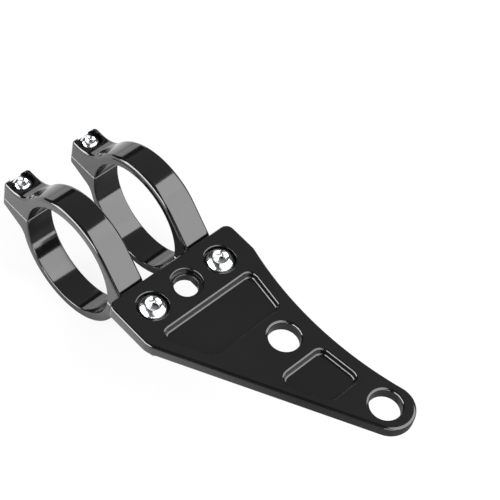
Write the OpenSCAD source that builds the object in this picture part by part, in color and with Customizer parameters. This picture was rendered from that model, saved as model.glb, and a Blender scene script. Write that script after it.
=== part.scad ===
// Headlight mounting bracket for one fork leg of a motorbike: a flat side plate on two clamps.
// Millimetres. The origin is the centre of the lower clamp's bore. +Y runs up the fork tube,
// +X runs forward to the headlight bolt, and +Z stands square off the plate's outer face.

/* [Fork clamps] */
// Diameter of the fork tube that the clamps hold
fork_d = 41; // [38:0.5:50]
// Wall of a clamp ring, from the bore to the outside
ring_wall = 3.6; // [3:0.1:5]
// Width of a clamp along the fork tube
clamp_w = 11; // [10.8:0.2:13]
// Distance between the two clamps along the fork tube
clamp_pitch = 30; // [26:1:34]
// Width of the bevel on the clamps' edges
clamp_bevel = 0.6; // [0.4:0.1:0.9]
// Broken edge at each end of a clamp's bore
bore_break = 0.4; // [0.2:0.1:0.6]

/* [Pinch lug] */
// Reach of the lug past the outside of the ring
lug_reach = 9.8; // [8.4:0.2:11]
// Height of the cap's half of the lug
lug_top = 7.8; // [7:0.2:9]
// Height of the base's half of the lug at its end
lug_bottom = 4.2; // [3:0.2:6]
// Corner radius at the lug's end
lug_corner_r = 1.5; // [1.2:0.1:2]
// Gap between the two halves of the lug
pinch_gap = 0.35; // [0.2:0.05:0.8]
// Distance from the lug's end to the pinch screw's axis
pinch_inset = 3.8; // [3.6:0.1:4.1]
// Radius of the hollow between the lug's top and the ring
cap_hollow_r = 2.2; // [1.5:0.1:3]
// Radius of the hollow between the lug's underside and the ring
base_hollow_r = 5; // [3:0.5:6]
// Depth of that hollow's centre below the fork axis
base_hollow_drop = 11.8; // [11:0.2:13]

/* [Foot under the plate] */
// Height of the plate's underside above the fork axis
plate_rise = 5.8; // [4.6:0.2:6.4]
// Depth of the foot, from the plate's underside down
foot_depth = 11.2; // [9:0.2:12]
// Reach of the foot past the plate screw's axis
foot_reach = 9.2; // [8:0.2:12]
// Radius of the hollow between the ring and the foot's underside
foot_hollow_r = 6; // [4:0.5:8]
// Corner radius at the foot's end
foot_corner_r = 2.5; // [1.5:0.1:3.5]
// Swelling of the cap's heel beyond the ring's outside
heel_swell = 0.8; // [0.6:0.1:1.5]
// Radius of the bend at the top of the heel
heel_r = 3.5; // [2:0.5:5]
// Length of the cap's toe that the plate holds down
toe_len = 4.3; // [3:0.1:5]
// Clearance in front of the toe
toe_clearance = 0.3; // [0.2:0.1:0.6]

/* [Side plate] */
// Thickness of the plate
plate_t = 5.2; // [4.8:0.1:7]
// Distance from the lower clamp's middle to the plate's lower side
lower_margin = 11.5; // [10:0.5:14]
// Distance from the upper clamp's middle to the plate's upper side
upper_margin = 12.5; // [11:0.5:14]
// Gap between the caps' heels and the plate's rear edge
rear_gap = 1.3; // [0.8:0.1:2]
// Distance from the plate's rear edge to the plate screws
screw_inset = 9.8; // [9:0.2:12]
// Distance forward from the plate screws to the headlight bolt
tip_forward = 74.3; // [70:0.2:85]
// Distance of the headlight bolt above the middle between the clamps
tip_offset = 19.1; // [16:0.2:20]
// Radius of the plate's rounded tip
tip_r = 8.6; // [7.8:0.1:9.5]
// Distance forward from the headlight bolt to the centre of that tip
nose_forward = 1.4; // [0:0.1:2]
// Distance of that centre above the headlight bolt
nose_offset = 0.7; // [0:0.1:1]
// Radius of the plate's two rear corners
rear_corner_r = 3; // [2:0.5:6]
// Radius of the bend at the end of the lower side
lower_shoulder_r = 8; // [6:1:20]
// Distance forward from the plate screws to the lower bend's centre
lower_shoulder_x = 8; // [4:0.2:9]
// Radius of the bend at the end of the upper side
upper_shoulder_r = 8; // [6:1:20]
// Distance forward from the plate screws to the upper bend's centre
upper_shoulder_x = 2.4; // [1:0.2:5]
// Radius of the hollow flank between the upper bend and the tip
waist_r = 130; // [110:5:200]
// Width of the bevel on the plate's edges
plate_bevel = 0.6; // [0.4:0.1:0.9]

/* [Plate holes] */
// Diameter of the headlight bolt's hole
bolt_hole_d = 11; // [8.4:0.2:11.4]
// Diameter of the middle hole
mid_hole_d = 11; // [8.4:0.2:11.4]
// Distance forward from the plate screws to the middle hole
mid_forward = 35.4; // [34:0.2:37]
// Distance of the middle hole above the middle between the clamps
mid_offset = 11.1; // [10:0.1:12]
// Diameter of the small hole between the plate screws
small_hole_d = 8.4; // [6.6:0.2:8.6]
// Diameter of the counterbores in the plate
counterbore_d = 11; // [10.8:0.1:12]
// Depth of the counterbores in the plate
counterbore_depth = 2; // [1.5:0.1:2.5]
// Broken edge at the mouth of each hole
hole_break = 0.5; // [0.2:0.1:0.6]

/* [Plate pockets] */
// Depth of the two pockets
pocket_depth = 1.2; // [0.8:0.1:1.8]
// Corner radius of the large pocket's floor
pocket_corner_r = 1.6; // [1:0.1:2]
// Corner radius of the small pocket's floor
small_pocket_corner_r = 2; // [1:0.1:2.4]
// Rim between the pockets and the plate's hollow flank
flank_rim = 5.1; // [4.6:0.1:6.4]
// Rim between the large pocket and the plate's slanted side
pocket_rim = 4.7; // [4:0.1:6]
// Rim between the small pocket and the plate's slanted side
small_pocket_rim = 3.1; // [2.5:0.1:4]
// Distance forward from the plate screws to the large pocket
pocket_forward = 9.2; // [8.8:0.1:11]
// Length of the large pocket along the plate
pocket_len = 17.2; // [15:0.2:18]
// Distance forward from the plate screws to the small pocket
small_pocket_forward = 45.4; // [45:0.2:48]
// Length of the small pocket along the plate
small_pocket_len = 17; // [14:0.2:18]

/* [Screws] */
// Thread diameter of the plate screws
plate_screw_d = 6; // [5:0.5:6.5]
// Head diameter of the plate screws
plate_head_d = 10.3; // [9:0.1:10.4]
// Height of the plate screws' heads
plate_head_h = 3.3; // [2.8:0.1:3.6]
// Length of the plate screws under the head
plate_screw_len = 12; // [10:0.5:12.5]
// Hexagon socket of the plate screws, across its flats
plate_socket = 4; // [3:0.5:4.5]
// Thread diameter of the pinch screws
pinch_screw_d = 4; // [3:0.5:4]
// Head diameter of the pinch screws
pinch_head_d = 7; // [6:0.1:7.4]
// Height of the pinch screws' heads
pinch_head_h = 2.2; // [1.8:0.1:2.6]
// Length of the pinch screws under the head
pinch_screw_len = 10; // [8:0.5:10]
// Hexagon socket of the pinch screws, across its flats
pinch_socket = 2.5; // [2:0.5:3]
// Diameter of the recess round a pinch screw's head
pinch_recess_d = 8.8; // [8.4:0.1:8.8]
// Depth of that recess
pinch_recess_depth = 2.2; // [1.2:0.1:2.6]

/* [Hidden] */
$fn = 96;

// A cutter passes a surface by this much
over = 1;
// A bevel's cutter stands out of the slab by this much
bevel_over = 0.5;
// The bevels follow an arc in steps of at most this angle and this length
bevel_angle = 15;
bevel_step = 2.5;
// Points of a bevel closer than this are one point
tiny = 0.01;
// Play between a screw's thread and its tapped hole
thread_play = 0.05;
// Play between a screw and the hole that it passes through
screw_play = 0.3;
// Straight side below a screw head's dome, as a share of the head's height
head_side = 0.2;
// Flat on top of a screw head's dome, as a share of the head's diameter
head_flat = 0.54;
// Depth of a screw's socket, as a share of the head's height
socket_depth = 0.65;
// Bevel at a screw's tip
tip_bevel = 0.6;
// Flats of a pocket's rounded corners, for a full turn
pocket_fn = 48;
hexagon = 6;

bore_r = fork_d / 2;
ring_r = bore_r + ring_wall;
heel_x = ring_r + heel_swell;
plate_rear_x = heel_x + rear_gap;
screw_x = plate_rear_x + screw_inset;
toe_end_x = heel_x + toe_len;
step_x = toe_end_x + toe_clearance;
foot_end_x = screw_x + foot_reach;
foot_z = plate_rise - foot_depth;
lug_end_x = -(ring_r + lug_reach);
pinch_x = lug_end_x + pinch_inset;
mid_y = clamp_pitch / 2;
low_y = -lower_margin;
high_y = clamp_pitch + upper_margin;
plate_top_z = plate_rise + plate_t;
plate_seat_z = plate_top_z - counterbore_depth;
pinch_seat_z = lug_top - pinch_recess_depth;

// An outline is a chain of circles, anticlockwise: [x, y, radius]. The radius is negative where
// the outline is hollow and 0 at a sharp corner. Straight lines join one circle to the next.
function next(chain, i) = chain[(i + 1) % len(chain)];
function before(chain, i) = chain[(i + len(chain) - 1) % len(chain)];
function heading(a, b) = atan2(b[1] - a[1], b[0] - a[0]);
function gap(a, b) = norm([b[0] - a[0], b[1] - a[1]]);
function on_circle(c, angle) = [c[0] + c[2] * cos(angle), c[1] + c[2] * sin(angle)];
function turn(angle) = angle - 360 * floor(angle / 360);
// Direction, square off the outline, of the line from circle a to circle b
function facing(a, b) = heading(a, b) - acos(max(-1, min(1, (a[2] - b[2]) / gap(a, b))));
// Hollow circle of radius r that touches circles a and b, on the left of the way from a to b
function nested(a, b, r) =
    let (from_a = a[2] + r, from_b = b[2] + r, d = gap(a, b),
         along = (from_a * from_a - from_b * from_b + d * d) / (2 * d),
         aside = sqrt(from_a * from_a - along * along), way = heading(a, b))
    [a[0] + along * cos(way) - aside * sin(way), a[1] + along * sin(way) + aside * cos(way), -r];
// Hollow circle of radius r that touches the clamp's ring from outside, at height z, on one side
function beside_ring(z, r, side) = [side * sqrt((ring_r + r) * (ring_r + r) - z * z), z, -r];

module outline(chain) {
    corners = [for (i = [0 : len(chain) - 1], side = [before(chain, i), next(chain, i)])
        side == before(chain, i) ? on_circle(chain[i], facing(side, chain[i]))
                                 : on_circle(chain[i], facing(chain[i], side))];
    difference() {
        union() {
            polygon(corners);
            for (c = chain) if (c[2] > 0) translate([c[0], c[1]]) circle(c[2]);
        }
        for (c = chain) if (c[2] < 0) translate([c[0], c[1]]) circle(-c[2]);
    }
}

// Points along circle i of a chain, moved inwards by inset. A sharp corner is the start or the
// end of a bevel, and gives one point beside the line that the bevel follows.
function circle_points(chain, i, inset, first) =
    let (c = chain[i], from = facing(before(chain, i), c), to = facing(c, next(chain, i)),
         sweep = c[2] > 0 ? turn(to - from) : -turn(from - to), r = c[2] - inset,
         steps = max(1, ceil(abs(sweep) / bevel_angle), ceil(abs(sweep * c[2]) * PI / 180 / bevel_step)))
    c[2] == 0 ? [on_circle([c[0], c[1], r], i == first ? to : from)]
              : [for (k = [0 : steps]) on_circle([c[0], c[1], r], from + sweep * k / steps)];
function path(chain, inset, first, last) =
    [for (i = [first : last]) each circle_points(chain, i, inset, first)];

// A cutter that bevels the edge of a slab of height h from one circle of its outline to another
module bevel_cutter(chain, h, w, first, last, shut) {
    plain = path(chain, 0, first, last);
    kept = [for (k = [0 : len(plain) - 1]) if (k == 0 || norm(plain[k] - plain[k - 1]) > tiny) k];
    inner = path(chain, w, first, last);
    outer = path(chain, -bevel_over, first, last);
    n = len(kept);
    top = h + bevel_over;
    rows = [[inner, h], [outer, h - w - bevel_over], [outer, top], [inner, top]];
    points = [for (row = rows, k = kept) [row[0][k][0], row[0][k][1], row[1]]];
    sides = [for (k = [0 : shut ? n - 1 : n - 2], row = [0 : 3], half = [0, 1])
        let (k2 = (k + 1) % n, a = row * n, b = (row + 1) % 4 * n)
        half == 0 ? [a + k, b + k, b + k2] : [a + k, b + k2, a + k2]];
    ends = shut ? [] : [[0, 3 * n, 2 * n, n], [n - 1, 2 * n - 1, 3 * n - 1, 4 * n - 1]];
    polyhedron(points, concat(sides, ends));
}

// A slab of height h whose two edges are bevelled from one circle of its outline to another
module bevelled_slab(chain, h, w, first, last, shut) {
    difference() {
        linear_extrude(h) outline(chain);
        bevel_cutter(chain, h, w, first, last, shut);
        translate([0, 0, h]) mirror([0, 0, 1]) bevel_cutter(chain, h, w, first, last, shut);
    }
}

// A hole along +Z from z = 0 to h, open at both ends, with both mouths broken
module broken_hole(r, h, mouth) {
    translate([0, 0, -over]) cylinder(r = r, h = h + 2 * over);
    for (end = [0, 1]) {
        translate([0, 0, end * h]) mirror([0, 0, end])
            translate([0, 0, -over]) cylinder(r1 = r + mouth + over, r2 = r, h = mouth + over);
    }
}

lower_shoulder = [screw_x + lower_shoulder_x, low_y + lower_shoulder_r, lower_shoulder_r];
upper_shoulder = [screw_x + upper_shoulder_x, high_y - upper_shoulder_r, upper_shoulder_r];
bolt_x = screw_x + tip_forward;
bolt_y = mid_y + tip_offset;
tip = [bolt_x + nose_forward, bolt_y + nose_offset, tip_r];
plate_chain = [
    [plate_rear_x + rear_corner_r, low_y + rear_corner_r, rear_corner_r],
    lower_shoulder,
    tip,
    nested(upper_shoulder, tip, waist_r),
    upper_shoulder,
    [plate_rear_x + rear_corner_r, high_y - rear_corner_r, rear_corner_r]
];

// A pocket's lower side runs beside the plate's slanted side, and its upper side beside the
// hollow flank. These give the corner of its floor at x, for a rim of its own width.
slant = facing(lower_shoulder, tip);
slant_start = on_circle(lower_shoulder, slant);
flank = plate_chain[3];
function slant_corner(x, inset, r) =
    [x, slant_start[1] - ((x - slant_start[0]) * cos(slant) + inset + r) / sin(slant), r];
function flank_corner(x, inset, r) =
    [x, flank[1] - sqrt(pow(inset + r - flank[2], 2) - pow(x - flank[0], 2)), r];
function pocket_floor(start, len, rim, r) =
    let (from = start + pocket_depth + r, to = start + len - pocket_depth - r)
    [slant_corner(from, rim + pocket_depth, r), slant_corner(to, rim + pocket_depth, r),
     flank_corner(to, flank_rim + pocket_depth, r), flank_corner(from, flank_rim + pocket_depth, r)];

// A pocket from its floor at z = 0 up, whose walls slope outwards by half a right angle
module pocket(floor) {
    h = pocket_depth + over;
    hull() for (c = floor) {
        translate([c[0], c[1], 0]) cylinder(r1 = c[2], r2 = c[2] + h, h = h, $fn = pocket_fn);
    }
}

// A hole through the plate from z = 0, with a counterbore at its top
module counterbored_hole(r) {
    translate([0, 0, -over]) cylinder(r = r, h = plate_t + over);
    translate([0, 0, plate_t - counterbore_depth]) cylinder(d = counterbore_d, h = counterbore_depth + over);
    translate([0, 0, plate_t - hole_break])
        cylinder(r1 = counterbore_d / 2, r2 = counterbore_d / 2 + hole_break + over, h = hole_break + over);
}

module side_plate() {
    color("#202022")
    translate([0, 0, plate_rise]) difference() {
        bevelled_slab(plate_chain, plate_t, plate_bevel, 0, len(plate_chain) - 1, true);
        translate([bolt_x, bolt_y, 0]) broken_hole(bolt_hole_d / 2, plate_t, hole_break);
        translate([screw_x + mid_forward, mid_y + mid_offset, 0])
            broken_hole(mid_hole_d / 2, plate_t, hole_break);
        translate([screw_x, mid_y, 0]) counterbored_hole(small_hole_d / 2);
        for (y = [0, clamp_pitch]) {
            translate([screw_x, y, 0]) counterbored_hole(plate_screw_d / 2 + screw_play);
        }
        translate([0, 0, plate_t - pocket_depth]) {
            pocket(pocket_floor(screw_x + pocket_forward, pocket_len, pocket_rim, pocket_corner_r));
            pocket(pocket_floor(screw_x + small_pocket_forward, small_pocket_len, small_pocket_rim,
                                small_pocket_corner_r));
        }
    }
}

// The cap and the base are outlined a little past the parting and then cut off at it. It lies in
// the plane of the fork axis, half the pinch gap away on the lug's side.
cap_chain = [
    [heel_x, plate_rise, 0],
    [heel_x - heel_r, plate_rise + heel_swell, heel_r],
    [0, 0, ring_r],
    beside_ring(lug_top + cap_hollow_r, cap_hollow_r, -1),
    [lug_end_x + lug_corner_r, lug_top - lug_corner_r, lug_corner_r],
    [lug_end_x, -over, 0],
    [toe_end_x, -over, 0],
    [toe_end_x, plate_rise, 0]
];

base_chain = [
    [lug_end_x, plate_rise, 0],
    [lug_end_x + lug_corner_r, lug_corner_r - lug_bottom, lug_corner_r],
    beside_ring(-base_hollow_drop, base_hollow_r, -1),
    [0, 0, ring_r],
    beside_ring(foot_z - foot_hollow_r, foot_hollow_r, 1),
    [foot_end_x - foot_corner_r, foot_z + foot_corner_r, foot_corner_r],
    [foot_end_x, plate_rise, 0]
];

// The cap's bevels stop where its outline turns in under the parting
cap_bevel_end = 5;

// What lies past the parting: side is -1 below the cap and 1 above the base
module parting(side, end_x) {
    reach = 2 * ring_r;
    polygon([[-reach, -side * pinch_gap / 2], [0, -side * pinch_gap / 2], [0, 0], [end_x, 0],
             [end_x, side * reach], [-reach, side * reach]]);
}

// A clamp half stands on its outline in the XZ plane, with the fork tube's bore through it
module clamp_half(chain, last, side, end_x) {
    translate([0, clamp_w / 2, 0]) rotate([90, 0, 0]) difference() {
        bevelled_slab(chain, clamp_w, clamp_bevel, 0, last, false);
        broken_hole(bore_r, clamp_w, bore_break);
        translate([0, 0, -over]) linear_extrude(clamp_w + 2 * over) parting(side, end_x);
    }
}

module clamp_cap() {
    color("#202022")
    difference() {
        clamp_half(cap_chain, cap_bevel_end, -1, toe_end_x + over);
        translate([pinch_x, 0, -over]) cylinder(r = pinch_screw_d / 2 + screw_play, h = lug_top + 2 * over);
        translate([pinch_x, 0, pinch_seat_z]) cylinder(d = pinch_recess_d, h = pinch_recess_depth + over);
    }
}

module clamp_base() {
    color("#202022")
    difference() {
        clamp_half(base_chain, len(base_chain) - 1, 1, step_x);
        translate([pinch_x, 0, -ring_r]) cylinder(r = pinch_screw_d / 2 + thread_play, h = ring_r + over);
        translate([screw_x, 0, -ring_r])
            cylinder(r = plate_screw_d / 2 + thread_play, h = ring_r + plate_rise + over);
    }
}

// A button-head screw whose head sits on z = 0, with its thread pointing down
module screw(d, len, head_d, head_h, socket) {
    side_h = head_h * head_side;
    flat_r = head_d * head_flat / 2;
    rise = head_h - side_h;
    dome_z = (flat_r * flat_r + head_h * head_h - head_d * head_d / 4 - side_h * side_h) / (2 * rise);
    dome_r = norm([flat_r, head_h - dome_z]);
    color("#d8dade")
    difference() {
        union() {
            intersection() {
                cylinder(d = head_d, h = head_h);
                translate([0, 0, dome_z]) sphere(dome_r);
            }
            translate([0, 0, tip_bevel - len]) cylinder(d = d, h = len - tip_bevel);
            translate([0, 0, -len]) cylinder(d1 = d - 2 * tip_bevel, d2 = d, h = tip_bevel);
        }
        translate([0, 0, head_h * (1 - socket_depth)])
            cylinder(r = socket / 2 / cos(30), h = head_h, $fn = hexagon);
    }
}

module plate_screw() {
    translate([screw_x, 0, plate_seat_z])
        screw(plate_screw_d, plate_screw_len, plate_head_d, plate_head_h, plate_socket);
}

module pinch_screw() {
    translate([pinch_x, 0, pinch_seat_z])
        screw(pinch_screw_d, pinch_screw_len, pinch_head_d, pinch_head_h, pinch_socket);
}

module upper() {
    translate([0, clamp_pitch, 0]) children();
}

module lower_clamp_base() { clamp_base(); }
module lower_clamp_cap() { clamp_cap(); }
module upper_clamp_base() { upper() clamp_base(); }
module upper_clamp_cap() { upper() clamp_cap(); }
module lower_plate_screw() { plate_screw(); }
module upper_plate_screw() { upper() plate_screw(); }
module lower_pinch_screw() { pinch_screw(); }
module upper_pinch_screw() { upper() pinch_screw(); }

side_plate();
lower_clamp_base();
lower_clamp_cap();
upper_clamp_base();
upper_clamp_cap();
lower_plate_screw();
upper_plate_screw();
lower_pinch_screw();
upper_pinch_screw();
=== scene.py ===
import bpy
import math
from mathutils import Matrix, Vector


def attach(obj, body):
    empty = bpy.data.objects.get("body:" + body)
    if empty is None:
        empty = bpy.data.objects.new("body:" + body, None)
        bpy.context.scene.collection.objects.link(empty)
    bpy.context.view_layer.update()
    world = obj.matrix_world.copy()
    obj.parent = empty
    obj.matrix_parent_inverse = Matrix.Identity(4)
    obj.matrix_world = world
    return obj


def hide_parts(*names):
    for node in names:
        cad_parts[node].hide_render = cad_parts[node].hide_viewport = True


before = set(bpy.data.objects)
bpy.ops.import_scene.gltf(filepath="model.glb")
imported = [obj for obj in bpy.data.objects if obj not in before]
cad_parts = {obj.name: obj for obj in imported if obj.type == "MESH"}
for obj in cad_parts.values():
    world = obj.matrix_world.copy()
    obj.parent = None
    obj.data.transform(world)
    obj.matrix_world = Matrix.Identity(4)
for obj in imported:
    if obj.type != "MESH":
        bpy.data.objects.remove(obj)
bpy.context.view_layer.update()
print("frame loaded:", ", ".join(sorted(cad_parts)))

mm = 0.001  # the pieces are made in millimetres and scaled at the end
quarterTurn = math.pi / 2

fineness = {  # lengths in millimetres, angles in degrees
    "turn": 9, "grain": 0.9, "edgeSteps": 7, "softSteps": 6, "segments": 128, "onAxis": 1e-6,
    "past": 1, "skin": 0.002,  # how far a cutter, and the last of its soft rim, runs past a face
    "sharpAngle": 32, "flatWeight": 60, "bevelSamples": 6,
}


# outlines: chains of circles (x, y, radius), negative where hollow, 0 at a sharp corner
def heading(a, b):
    return math.atan2(b[1] - a[1], b[0] - a[0])


def facing(a, b):
    # which way the straight side from a to b faces
    reach = (a[2] - b[2]) / math.dist(a[:2], b[:2])
    return heading(a, b) - math.acos(max(-1, min(1, reach)))


def nestedCircle(a, b, r):
    # the hollow circle that touches a and b, on the left of the way from a to b
    fromA, fromB, apart, way = a[2] + r, b[2] + r, math.dist(a[:2], b[:2]), heading(a, b)
    along = (fromA ** 2 - fromB ** 2 + apart ** 2) / (2 * apart)
    aside = math.sqrt(fromA ** 2 - along ** 2)
    return (a[0] + along * math.cos(way) - aside * math.sin(way),
            a[1] + along * math.sin(way) + aside * math.cos(way), -r)


def outlineLoop(chain, inset, grain=fineness["grain"]):
    points = []
    for i, circle in enumerate(chain):
        before, after = chain[i - 1], chain[(i + 1) % len(chain)]
        x, y, r = circle
        start, end = facing(before, circle), facing(circle, after)
        if r == 0:
            share = inset / (1 + math.cos(start - end))
            points.append((x - share * (math.cos(start) + math.cos(end)),
                           y - share * (math.sin(start) + math.sin(end))))
            continue
        sweep = (end - start) % (2 * math.pi) if r > 0 else -((start - end) % (2 * math.pi))
        byTurn, byLength = abs(sweep) / math.radians(fineness["turn"]), abs(sweep * r) / grain
        for turn in turnsTo(sweep, max(2, math.ceil(byTurn), math.ceil(byLength))):
            angle = start + turn
            points.append((x + (r - inset) * math.cos(angle), y + (r - inset) * math.sin(angle)))
    return points


def turnsTo(angle, steps):
    return [angle * k / steps for k in range(steps + 1)]


def circlePoints(r, count):
    turns = [2 * math.pi * k / count for k in range(count)]
    return [(r * math.cos(turn), r * math.sin(turn)) for turn in turns]


# meshes
def meshObject(name, vertices, faces):
    mesh = bpy.data.meshes.new(name)
    mesh.from_pydata(vertices, [], faces)
    mesh.validate()
    piece = bpy.data.objects.new(name, mesh)
    bpy.context.scene.collection.objects.link(piece)
    return piece


def loft(name, levels):
    # each level is a loop of points and its height, with as many points as the others
    count = len(levels[0][0])
    vertices = [(x, y, z) for loop, z in levels for x, y in loop]
    faces = [tuple(reversed(range(count))), tuple(range(len(vertices) - count, len(vertices)))]
    for level in range(len(levels) - 1):
        for k in range(count):
            a, b = level * count + k, level * count + (k + 1) % count
            faces.append((a, b, b + count, a + count))
    return meshObject(name, vertices, faces)


def prism(name, points, bottom, top):
    return loft(name, [(points, bottom), (points, top)])


def roundedSlab(name, chain, height, edge):
    turns = turnsTo(quarterTurn, fineness["edgeSteps"])
    levels = [(outlineLoop(chain, edge * (1 - math.sin(turn))), edge * (1 - math.cos(turn)))
              for turn in turns]
    levels += [(outlineLoop(chain, edge * (1 - math.cos(turn))), height - edge * (1 - math.sin(turn)))
               for turn in turns]
    return loft(name, levels)


def lathe(name, profile, segments=fineness["segments"]):
    # the profile's points (radius, height) turned about the Z axis
    vertices, faces, rows = [], [], []
    for r, z in profile:
        rows.append(len(vertices))
        if r < fineness["onAxis"]:
            vertices.append((0, 0, z))
        else:
            vertices += [(x, y, z) for x, y in circlePoints(r, segments)]
    for i in range(len(profile) - 1):
        a, b = rows[i], rows[i + 1]
        for k in range(segments):
            n = (k + 1) % segments
            if profile[i][0] < fineness["onAxis"]:
                faces.append((a, b + n, b + k))
            elif profile[i + 1][0] < fineness["onAxis"]:
                faces.append((a + k, a + n, b))
            else:
                faces.append((a + k, a + n, b + n, b + k))
    return meshObject(name, vertices, faces)


def mouthCurve(r, z, soft, way):
    # from the hole's wall out to the flat face at z; way is 1 at an upper mouth, -1 at a lower one
    curve = [(r + soft * (1 - math.cos(turn)), z - way * soft * (1 - math.sin(turn)))
             for turn in turnsTo(quarterTurn, fineness["softSteps"])]
    curve[-1] = (curve[-1][0], z + way * fineness["skin"])
    return curve + [(r + soft, z + way * fineness["past"])]


def holeCutter(name, r, bottom, top, lowerSoft=0.0, upperSoft=0.0, segments=fineness["segments"]):
    # runs past both ends, so a hole that has a floor gets its bottom given that much higher
    lower, upper = [(r, bottom - fineness["past"])], [(r, top + fineness["past"])]
    if lowerSoft:
        lower = list(reversed(mouthCurve(r, bottom, lowerSoft, -1)))
    if upperSoft:
        upper = mouthCurve(r, top, upperSoft, 1)
    return lathe(name, [(0, lower[0][1]), *lower, *upper, (0, upper[-1][1])], segments)


def placed(piece, x=0.0, y=0.0, z=0.0, turn=None):
    if turn is not None:
        piece.data.transform(turn)
    piece.data.transform(Matrix.Translation((x, y, z)))
    return piece


def applyModifiers(piece):
    bpy.context.view_layer.update()
    made = bpy.data.meshes.new_from_object(piece.evaluated_get(bpy.context.evaluated_depsgraph_get()))
    piece.modifiers.clear()
    piece.data = made


def carve(piece, cutters):
    for cutter in cutters:
        modifier = piece.modifiers.new("cut", "BOOLEAN")
        modifier.operation = "DIFFERENCE"
        modifier.solver = "EXACT"
        modifier.object = cutter
    applyModifiers(piece)
    for cutter in cutters:
        bpy.data.objects.remove(cutter)


def finishPiece(piece, node, material, sharpAngle=fineness["sharpAngle"]):
    piece.data.transform(Matrix.Scale(mm, 4))
    for face in piece.data.polygons:
        face.use_smooth = True
    piece.data.set_sharp_from_angle(angle=math.radians(sharpAngle))
    weighted = piece.modifiers.new("flatFaces", "WEIGHTED_NORMAL")
    weighted.mode = "FACE_AREA"
    weighted.weight = fineness["flatWeight"]
    weighted.keep_sharp = True
    applyModifiers(piece)
    piece.data.materials.clear()
    piece.data.materials.append(material)
    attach(piece, "root")
    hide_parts(node)
    print("made", piece.name, len(piece.data.polygons), "faces")


# shader maths: a number that varies over the surface
class Varying:
    def __init__(self, tree, socket):
        self.tree, self.socket = tree, socket

    def combine(self, operation, first, second):
        node = addNode(self.tree, "ShaderNodeMath", {"operation": operation}, {0: first, 1: second})
        return Varying(self.tree, node.outputs[0])

    def __add__(self, other):
        return self.combine("ADD", self, other)

    def __radd__(self, other):
        return self.combine("ADD", other, self)

    def __sub__(self, other):
        return self.combine("SUBTRACT", self, other)

    def __rsub__(self, other):
        return self.combine("SUBTRACT", other, self)

    def __mul__(self, other):
        return self.combine("MULTIPLY", self, other)

    def __rmul__(self, other):
        return self.combine("MULTIPLY", other, self)

    def atLeast(self, other):
        return self.combine("MAXIMUM", self, other)


def addNode(tree, kind, settings=None, inputs=None):
    node = tree.nodes.new(kind)
    for name, value in (settings or {}).items():
        setattr(node, name, value)
    for name, value in (inputs or {}).items():
        if isinstance(value, Varying):
            value = value.socket
        if isinstance(value, bpy.types.NodeSocket):
            tree.links.new(value, node.inputs[name])
        else:
            node.inputs[name].default_value = value
    return node


def newMaterial(name):
    material = bpy.data.materials.new(name)
    material.use_nodes = True
    material.node_tree.nodes.clear()
    return material, material.node_tree


def placeOnPiece(tree):
    return addNode(tree, "ShaderNodeTexCoord").outputs["Object"]


def noise(tree, place, scale, detail):
    node = addNode(tree, "ShaderNodeTexNoise", {}, {"Vector": place, "Scale": scale, "Detail": detail})
    return Varying(tree, node.outputs[0])


mixSockets = {"share": 0, "first": 6, "second": 7, "result": 2}  # where a Mix node has its colours


def mixColour(tree, share, first, second):
    at = mixSockets
    node = addNode(tree, "ShaderNodeMix", {"data_type": "RGBA"},
                   {at["share"]: share, at["first"]: (*first, 1), at["second"]: (*second, 1)})
    return node.outputs[at["result"]]


def unevenNormal(tree, height, strength, depth, softEdge):
    soft = addNode(tree, "ShaderNodeBevel", {"samples": fineness["bevelSamples"]}, {"Radius": softEdge})
    bump = addNode(tree, "ShaderNodeBump", {}, {
        "Strength": strength, "Distance": depth, "Height": height, "Normal": soft.outputs[0]})
    return bump.outputs[0]


paintSet = {  # lengths in metres
    "black": (0.003, 0.003, 0.0033), "haze": (0.006, 0.006, 0.0064), "hazeScale": 55, "hazeDetail": 4,
    "roughness": 0.07, "roughnessSpread": 0.06, "ior": 1.8, "softEdge": 0.00022,
    "peelScale": 700, "peelDetail": 2, "peelDepth": 0.0000012, "peelStrength": 0.5,
}


def glossBlackPaint():
    material, tree = newMaterial("glossBlackPaint")
    place = placeOnPiece(tree)
    haze = noise(tree, place, paintSet["hazeScale"], paintSet["hazeDetail"])
    peel = noise(tree, place, paintSet["peelScale"], paintSet["peelDetail"])
    paint = addNode(tree, "ShaderNodeBsdfPrincipled", {}, {
        "Base Color": mixColour(tree, haze, paintSet["black"], paintSet["haze"]),
        "Roughness": paintSet["roughness"] + paintSet["roughnessSpread"] * haze * haze,
        "IOR": paintSet["ior"],
        "Normal": unevenNormal(tree, peel, paintSet["peelStrength"], paintSet["peelDepth"],
                               paintSet["softEdge"]),
    })
    addNode(tree, "ShaderNodeOutputMaterial", {}, {"Surface": paint.outputs[0]})
    return material


steelSet = {  # lengths in metres
    "bright": (0.88, 0.89, 0.90), "dull": (0.76, 0.77, 0.79), "tarnishScale": 300, "tarnishDetail": 3,
    "metallic": 1.0, "roughness": 0.16, "roughnessSpread": 0.08, "softEdge": 0.00012,
    "lineScale": 5200, "lineDetail": 2, "lineDepth": 0.0000012, "lineStrength": 0.4,
}


def brightSteel():
    material, tree = newMaterial("brightSteel")
    place = placeOnPiece(tree)
    tarnish = noise(tree, place, steelSet["tarnishScale"], steelSet["tarnishDetail"])
    lines = noise(tree, place, steelSet["lineScale"], steelSet["lineDetail"])
    steel = addNode(tree, "ShaderNodeBsdfPrincipled", {}, {
        "Base Color": mixColour(tree, tarnish, steelSet["bright"], steelSet["dull"]),
        "Metallic": steelSet["metallic"],
        "Roughness": steelSet["roughness"] + steelSet["roughnessSpread"] * tarnish,
        "Normal": unevenNormal(tree, lines, steelSet["lineStrength"], steelSet["lineDepth"],
                               steelSet["softEdge"]),
    })
    addNode(tree, "ShaderNodeOutputMaterial", {}, {"Surface": steel.outputs[0]})
    return material


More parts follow.
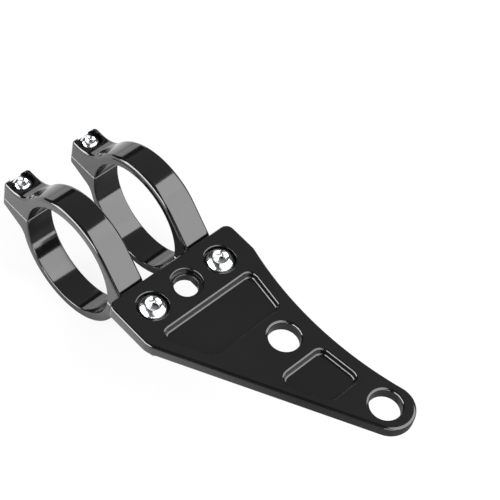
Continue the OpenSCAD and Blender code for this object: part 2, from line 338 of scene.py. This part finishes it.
# clamps: each is drawn in the XZ plane around its bore
clampSet = {  # millimetres
    "boreR": 20.5, "ringR": 24.1, "width": 11, "pitch": 30, "edge": 1.4, "boreMouth": 0.6,
    "boreSegments": 360, "plateUnder": 5.8,
    "below": -1, "cutReach": 60,  # how far outline and cutter run past the parting
    "lugEnd": -33.9, "lugTop": 7.8, "lugBottom": 4.2, "lugCorner": 1.5,
    "pinchGap": 0.35, "seamGroove": 0.4, "capHollow": 12, "baseHollow": 5, "baseHollowDrop": 11.8,
    "footEnd": 45.2, "footBottom": -5.4, "footHollow": 6, "footCorner": 2.5,
    "heel": 25.9, "heelR": 1.5, "heelTop": 8.2, "toeEnd": 29.2, "step": 29.5,
    "pinchX": -30.1, "recessR": 4.4, "recessFloor": 5.6, "recessOpen": 6, "passR": 2.3,
    "tapR": 2.05, "tapReach": (-20, 2), "plateTapR": 3.05, "plateTapMouth": 0.4,
}


def besideRing(height, r, side):
    # a hollow circle that touches the ring from outside, its centre at this height
    return (side * math.sqrt((clampSet["ringR"] + r) ** 2 - height ** 2), height, -r)


def standUp(piece):
    # an outline drawn in the XZ plane, its thickness centred on Y = 0
    return placed(piece, y=clampSet["width"] / 2, turn=Matrix.Rotation(quarterTurn, 4, "X"))


def boreCutter():
    c = clampSet
    bore = holeCutter("bore", c["boreR"], 0, c["width"], c["boreMouth"], c["boreMouth"], c["boreSegments"])
    return standUp(bore)


def partingCutter(side, endX):
    # takes away the other half, and half the pinch gap on the lug's side; side is 1 for a base
    half, reach, past = clampSet["pinchGap"] / 2, clampSet["cutReach"], fineness["past"]
    points = [(-reach, -side * half), (0, -side * half), (0, 0), (endX, 0),
              (endX, side * reach), (-reach, side * reach)]
    if side < 0:
        points.reverse()
    return standUp(prism("parting", points, -past, clampSet["width"] + past))


def seamGrooves(endX):
    # the parting's edges are broken on both faces, in the bore and at the lug's end
    c = clampSet
    g, half = c["seamGroove"], c["width"] / 2
    diamond = [(g, 0), (0, g), (-g, 0), (0, -g)]
    along = Matrix.Rotation(quarterTurn, 4, "Y")
    grooves = [placed(prism("groove", diamond, c["lugEnd"] - g, endX), y=y, turn=along)
               for y in (-half, half)]
    for x in (-c["boreR"], c["boreR"], c["lugEnd"]):
        points = [(x + across, up) for across, up in diamond]
        grooves.append(standUp(prism("groove", points, -g, c["width"] + g)))
    return grooves


def makeCap(node, y, material):
    c, past = clampSet, fineness["past"]
    chain = [
        (c["heel"], c["plateUnder"], 0), (c["heel"] - c["heelR"], c["heelTop"], c["heelR"]),
        (0, 0, c["ringR"]), besideRing(c["lugTop"] + c["capHollow"], c["capHollow"], -1),
        (c["lugEnd"] + c["lugCorner"], c["lugTop"] - c["lugCorner"], c["lugCorner"]),
        (c["lugEnd"], c["below"], 0), (c["toeEnd"], c["below"], 0), (c["toeEnd"], c["plateUnder"], 0),
    ]
    piece = standUp(roundedSlab(node + "Piece", chain, c["width"], c["edge"]))
    recess = holeCutter("recess", c["recessR"], c["recessFloor"] + past, c["lugTop"] + c["recessOpen"])
    carve(piece, [
        boreCutter(), partingCutter(-1, c["toeEnd"] + past), *seamGrooves(c["toeEnd"] + past),
        placed(recess, x=c["pinchX"]),
        placed(holeCutter("pass", c["passR"], c["below"], c["lugTop"]), x=c["pinchX"]),
    ])
    finishPiece(placed(piece, y=y), node, material)


def makeBase(node, y, material):
    c = clampSet
    chain = [
        (c["lugEnd"], c["plateUnder"], 0),
        (c["lugEnd"] + c["lugCorner"], c["lugCorner"] - c["lugBottom"], c["lugCorner"]),
        besideRing(-c["baseHollowDrop"], c["baseHollow"], -1), (0, 0, c["ringR"]),
        besideRing(c["footBottom"] - c["footHollow"], c["footHollow"], 1),
        (c["footEnd"] - c["footCorner"], c["footBottom"] + c["footCorner"], c["footCorner"]),
        (c["footEnd"], c["plateUnder"], 0),
    ]
    piece = standUp(roundedSlab(node + "Piece", chain, c["width"], c["edge"]))
    plateThread = holeCutter("plateThread", c["plateTapR"], c["footBottom"], c["plateUnder"],
                             c["plateTapMouth"])
    carve(piece, [
        boreCutter(), partingCutter(1, c["step"]), *seamGrooves(c["step"]),
        placed(holeCutter("pinchThread", c["tapR"], *c["tapReach"]), x=c["pinchX"]),
        placed(plateThread, x=plateSet["screwX"]),
    ])
    finishPiece(placed(piece, y=y), node, material)


# plate
plateSet = {  # millimetres; a bend is (x, radius), a hole or the tip (x, y, radius)
    "bottom": clampSet["plateUnder"], "thick": 5.2, "edge": 1.1,
    "rear": 26.2, "low": -11.5, "high": 42.5, "rearCorner": 3,
    "lowerBend": (44.0, 8), "upperBend": (38.4, 8), "tip": (111.7, 34.8, 8.6), "waist": 130,
    "screwX": 36, "screwYs": (0, clampSet["pitch"]), "screwHole": 3.3, "smallHole": (36, 15, 4.2),
    "sinkR": 5.5, "sinkDepth": 2, "bigHoles": ((110.3, 34.1, 5.5), (71.4, 26.1, 5.5)),
    "bigMouth": 1.0, "sinkMouth": 0.45, "smallMouth": 0.3,
    "pocketDepth": 2.5, "pocketSoft": 0.7, "pocketSlope": 80, "pocketGrain": 0.5, "flankRim": 5.1,
    "pockets": ({"start": 45.2, "length": 17.2, "rim": 4.7, "corner": 2.5},
                {"start": 81.4, "length": 17, "rim": 3.1, "corner": 3}),
}


def plateChain():
    p = plateSet
    lower = (p["lowerBend"][0], p["low"] + p["lowerBend"][1], p["lowerBend"][1])
    upper = (p["upperBend"][0], p["high"] - p["upperBend"][1], p["upperBend"][1])
    waist = nestedCircle(upper, p["tip"], p["waist"])
    r, rearX = p["rearCorner"], p["rear"] + p["rearCorner"]
    return [(rearX, p["low"] + r, r), lower, p["tip"], waist, upper, (rearX, p["high"] - r, r)]


def pocketCutter(chain, pocket):
    p = plateSet
    lower, tip, flank = chain[1], chain[2], chain[3]
    slant, depth, r, soft = facing(lower, tip), p["pocketDepth"], pocket["corner"], p["pocketSoft"]
    slope = math.radians(p["pocketSlope"])
    run = depth / math.tan(slope)
    sideX, sideY = lower[0] + lower[2] * math.cos(slant), lower[1] + lower[2] * math.sin(slant)

    def slantCorner(x):
        # beside the plate's straight slanted side
        inset = pocket["rim"] + run + r
        return (x, sideY - ((x - sideX) * math.cos(slant) + inset) / math.sin(slant), r)

    def flankCorner(x):
        # beside the plate's hollow waist
        inset = p["flankRim"] + run + r
        return (x, flank[1] - math.sqrt((inset - flank[2]) ** 2 - (x - flank[0]) ** 2), r)

    start, end = pocket["start"] + run + r, pocket["start"] + pocket["length"] - run - r
    floorChain = [slantCorner(start), slantCorner(end), flankCorner(end), flankCorner(start)]
    # profile of the wall: soft at the floor, straight, soft at the rim
    turns = turnsTo(slope, fineness["softSteps"])
    tangent = soft * math.tan(slope / 2)
    profile = [(-tangent + soft * math.sin(turn), soft * (1 - math.cos(turn))) for turn in turns]
    profile += [(run + tangent - soft * math.sin(turn), depth - soft * (1 - math.cos(turn)))
                for turn in reversed(turns)]
    profile[-1] = (profile[-1][0], depth + fineness["skin"])
    profile.append((profile[-1][0], depth + fineness["past"]))
    floorZ = p["bottom"] + p["thick"] - depth
    levels = [(outlineLoop(floorChain, -out, p["pocketGrain"]), floorZ + up) for out, up in profile]
    return loft("pocket", levels)


def makePlate(node, material):
    p = plateSet
    chain = plateChain()
    bottom, top = p["bottom"], p["bottom"] + p["thick"]
    seat = top - p["sinkDepth"]
    piece = placed(roundedSlab(node + "Piece", chain, p["thick"], p["edge"]), z=bottom)
    cutters = [pocketCutter(chain, pocket) for pocket in p["pockets"]]
    for x, y, r in p["bigHoles"]:
        cutters.append(placed(holeCutter("hole", r, bottom, top, p["bigMouth"], p["bigMouth"]), x=x, y=y))
    for x, y, r in [p["smallHole"]] + [(p["screwX"], y, p["screwHole"]) for y in p["screwYs"]]:
        sink = holeCutter("sink", p["sinkR"], seat + fineness["past"], top, 0, p["sinkMouth"])
        through = holeCutter("through", r, bottom, seat, p["smallMouth"], p["smallMouth"])
        cutters += [placed(sink, x=x, y=y), placed(through, x=x, y=y)]
    carve(piece, cutters)
    finishPiece(piece, node, material)


# screws
plateScrewSet = {  # millimetres
    "d": 6, "length": 12, "headR": 5.15, "headH": 3.3, "socket": 4, "pitch": 1,
    "x": plateSet["screwX"], "seat": plateSet["bottom"] + plateSet["thick"] - plateSet["sinkDepth"],
}
pinchScrewSet = {
    "d": 4, "length": 10, "headR": 3.5, "headH": 2.2, "socket": 2.5, "pitch": 0.7,
    "x": clampSet["pinchX"], "seat": clampSet["recessFloor"],
}
screwShape = {  # millimetres, angles in degrees
    "tipChamfer": 0.6, "underEdge": 0.15, "domeSteps": 20, "segments": 96, "sharpAngle": 25,
    "crest": 0.12, "root": (0.5, 0.62), "threadDepth": 0.5,  # shares of the pitch
    "brim": 0.2, "flat": 0.54,  # the brim's share of the head's height, the flat's of its radius
    "socketFloor": 0.35, "drillR": 0.48,  # the floor's share of the head's height, the drill's of the socket
    "socketSides": 6, "drillAbove": 0.4,
    "mouthInside": 0.1, "mouthDepth": 1, "mouthAbove": 0.3,
}


def screwProfile(part):
    s = screwShape
    r, pitch, headR, headH = part["d"] / 2, part["pitch"], part["headR"], part["headH"]
    profile = [(0, -part["length"]), (r - s["tipChamfer"], -part["length"])]
    z = -part["length"] + s["tipChamfer"]
    rootR, (rootStart, rootEnd) = r - pitch * s["threadDepth"], s["root"]
    while z < -pitch:
        profile += [(r, z), (r, z + pitch * s["crest"]),
                    (rootR, z + pitch * rootStart), (rootR, z + pitch * rootEnd)]
        z += pitch
    sideH, flatR = headH * s["brim"], headR * s["flat"]
    profile += [(r, z), (r, 0), (headR - s["underEdge"], 0), (headR, s["underEdge"]), (headR, sideH)]
    # the dome is part of a ball, from the brim to the edge of the flat
    domeZ = (flatR ** 2 + headH ** 2 - headR ** 2 - sideH ** 2) / (2 * (headH - sideH))
    domeR = math.hypot(flatR, headH - domeZ)
    low, high = math.atan2(sideH - domeZ, headR), math.atan2(headH - domeZ, flatR)
    for turn in turnsTo(high - low, s["domeSteps"])[1:-1]:
        profile.append((domeR * math.cos(low + turn), domeZ + domeR * math.sin(low + turn)))
    return profile + [(flatR, headH), (0, headH)]


def makeScrew(node, part, y, material):
    s = screwShape
    piece = lathe(node + "Piece", screwProfile(part), s["segments"])
    headH, floorZ, drillR = part["headH"], part["headH"] * s["socketFloor"], part["socket"] * s["drillR"]
    corners = circlePoints(part["socket"] / 2 / math.cos(math.pi / s["socketSides"]), s["socketSides"])
    rimR, depth, above = part["headR"] * s["flat"] - s["mouthInside"], s["mouthDepth"], s["mouthAbove"]
    mouth = [(0, headH - depth), (rimR - depth, headH - depth),
             (rimR + above, headH + above), (0, headH + above)]
    drillTop = floorZ + s["drillAbove"]
    drill = [(0, floorZ - drillR / 2), (drillR, floorZ), (drillR, drillTop), (0, drillTop)]
    carve(piece, [
        prism("socket", corners, floorZ, headH + fineness["past"]),
        lathe("mouth", mouth, s["segments"]), lathe("drill", drill, s["segments"]),
    ])
    placed(piece, x=part["x"], y=y, z=part["seat"])
    finishPiece(piece, node, material, s["sharpAngle"])


# studio
cameraSet = {  # place in millimetres, clips in metres
    "place": (242.7, -249.4, 498.6),
    "right": (0.6800, 0.7189, 0.1440),
    "up": (-0.6510, 0.5016, 0.5697),
    "lens": 129.6, "sensor": 36, "nearClip": 0.01, "farClip": 20,
}


def makeCamera():
    right, up = Vector(cameraSet["right"]).normalized(), Vector(cameraSet["up"]).normalized()
    data = bpy.data.cameras.new("photoCamera")
    data.lens = cameraSet["lens"]
    data.sensor_width = cameraSet["sensor"]
    data.clip_start = cameraSet["nearClip"]
    data.clip_end = cameraSet["farClip"]
    camera = bpy.data.objects.new("photoCamera", data)
    turn = Matrix((right, up, right.cross(up))).transposed().to_4x4()
    camera.matrix_world = Matrix.Translation(Vector(cameraSet["place"]) * mm) @ turn
    bpy.context.scene.collection.objects.link(camera)
    bpy.context.scene.camera = camera


lampSet = {  # where each panel stands and how wide and tall it looks, in degrees, and how bright it is
    "rightBox": {"azimuth": 28.5, "elevation": 37, "across": 83, "tall": 76, "brightness": 3.4},
    "frontBox": {"azimuth": -113, "elevation": 20, "across": 74, "tall": 30, "brightness": 9},
    "lowStrip": {"azimuth": -33, "elevation": 8, "across": 38, "tall": 16, "brightness": 5},
    "backPanel": {"azimuth": 125, "elevation": 52, "across": 80, "tall": 60, "brightness": 0.17},
    "leftStrip": {"azimuth": 152, "elevation": 4.5, "across": 30, "tall": 11, "brightness": 1.2},
}
lampAway = 0.9  # metres from the panels to what they point at
lampTarget = (0.03, 0.015, 0)


def directionTo(azimuth, elevation):
    a, e = math.radians(azimuth), math.radians(elevation)
    return Vector((math.cos(a) * math.cos(e), math.sin(a) * math.cos(e), math.sin(e)))


def makeLamps():
    for name, lamp in lampSet.items():
        data = bpy.data.lights.new(name, "AREA")
        data.shape = "RECTANGLE"
        data.size = 2 * lampAway * math.tan(math.radians(lamp["across"]) / 2)
        data.size_y = 2 * lampAway * math.tan(math.radians(lamp["tall"]) / 2)
        data.energy = lamp["brightness"] * math.pi * data.size * data.size_y
        away = directionTo(lamp["azimuth"], lamp["elevation"])
        light = bpy.data.objects.new(name, data)
        light.location = Vector(lampTarget) + away * lampAway
        light.rotation_euler = (-away).to_track_quat("-Z", "Y").to_euler()
        bpy.context.scene.collection.objects.link(light)


def grey(level):
    return (level, level, level, 1)


worldSet = {"white": 1.0, "seen": 1.0, "lighting": 0.02}  # its strength as seen, and as a lamp


def makeWorld():
    world = bpy.data.worlds.new("studio")
    world.use_nodes = True
    bpy.context.scene.world = world
    tree = world.node_tree
    tree.nodes.clear()
    direct = Varying(tree, addNode(tree, "ShaderNodeLightPath").outputs["Is Camera Ray"])
    strength = worldSet["lighting"] * (1 - direct) + worldSet["seen"] * direct
    white = grey(worldSet["white"])
    glow = addNode(tree, "ShaderNodeBackground", {}, {"Color": white, "Strength": strength})
    addNode(tree, "ShaderNodeOutputWorld", {}, {"Surface": glow.outputs[0]})


floorSet = {  # millimetres; reflections show a darker floor under the bracket and towards its tip
    "height": -24.15, "size": 3000, "white": 0.8, "shade": 0.06,
    "glow": 1.0, "glowStrength": 1.0, "cameraGlow": 0.85,
    "underX": (-22, -8), "underY": (-16, 0), "underShare": 0.8, "tipX": (20, 100), "tipShare": 0.9,
}
rayKinds = ("Is Camera Ray", "Is Transmission Ray", "Is Glossy Ray")


def ramp(tree, value, limits):
    node = addNode(tree, "ShaderNodeMapRange", {"clamp": True},
                   {"Value": value, "From Min": limits[0] * mm, "From Max": limits[1] * mm})
    return Varying(tree, node.outputs[0])


def mixShader(tree, share, first, second):
    return addNode(tree, "ShaderNodeMixShader", {}, {0: share, 1: first.outputs[0], 2: second.outputs[0]})


def floorWhite():
    f = floorSet
    material, tree = newMaterial("floorWhite")
    path = addNode(tree, "ShaderNodeLightPath")
    cameraRay, clearRay, glossyRay = [Varying(tree, path.outputs[kind]) for kind in rayKinds]
    apart = addNode(tree, "ShaderNodeSeparateXYZ", {}, {"Vector": placeOnPiece(tree)})
    x, y = Varying(tree, apart.outputs[0]), Varying(tree, apart.outputs[1])
    # painted shade: glossy rays see a dark floor under the bracket and towards its tip, standing in for the
    # shadow there
    under = f["underShare"] * ramp(tree, x, f["underX"]) * ramp(tree, y, f["underY"])
    towardsTip = f["tipShare"] * ramp(tree, x, f["tipX"])
    shaded = under.atLeast(towardsTip) * glossyRay
    matt = addNode(tree, "ShaderNodeBsdfDiffuse", {}, {"Color": grey(f["white"])})
    shade = addNode(tree, "ShaderNodeBsdfDiffuse", {}, {"Color": grey(f["shade"])})
    glow = addNode(tree, "ShaderNodeEmission", {}, {"Color": grey(f["glow"]), "Strength": f["glowStrength"]})
    seen = f["cameraGlow"] * (cameraRay + clearRay)
    mix = mixShader(tree, seen, mixShader(tree, shaded, matt, shade), glow)
    addNode(tree, "ShaderNodeOutputMaterial", {}, {"Surface": mix.outputs[0]})
    return material


def makeFloor():
    half, z = floorSet["size"] / 2, floorSet["height"]
    corners = [(-half, -half, z), (half, -half, z), (half, half, z), (-half, half, z)]
    floor = meshObject("floor", corners, [(0, 1, 2, 3)])
    floor.data.transform(Matrix.Scale(mm, 4))
    floor.data.materials.append(floorWhite())


makeCamera()
makeLamps()
makeWorld()
makeFloor()
bpy.context.scene.view_settings.view_transform = "Standard"
print("studio ready")

black = glossBlackPaint()
steel = brightSteel()
makePlate("side_plate", black)
for side, y in (("lower", 0), ("upper", clampSet["pitch"])):
    makeCap(side + "_clamp_cap", y, black)
    makeBase(side + "_clamp_base", y, black)
    makeScrew(side + "_plate_screw", plateScrewSet, y, steel)
    makeScrew(side + "_pinch_screw", pinchScrewSet, y, steel)
print("pieces made")
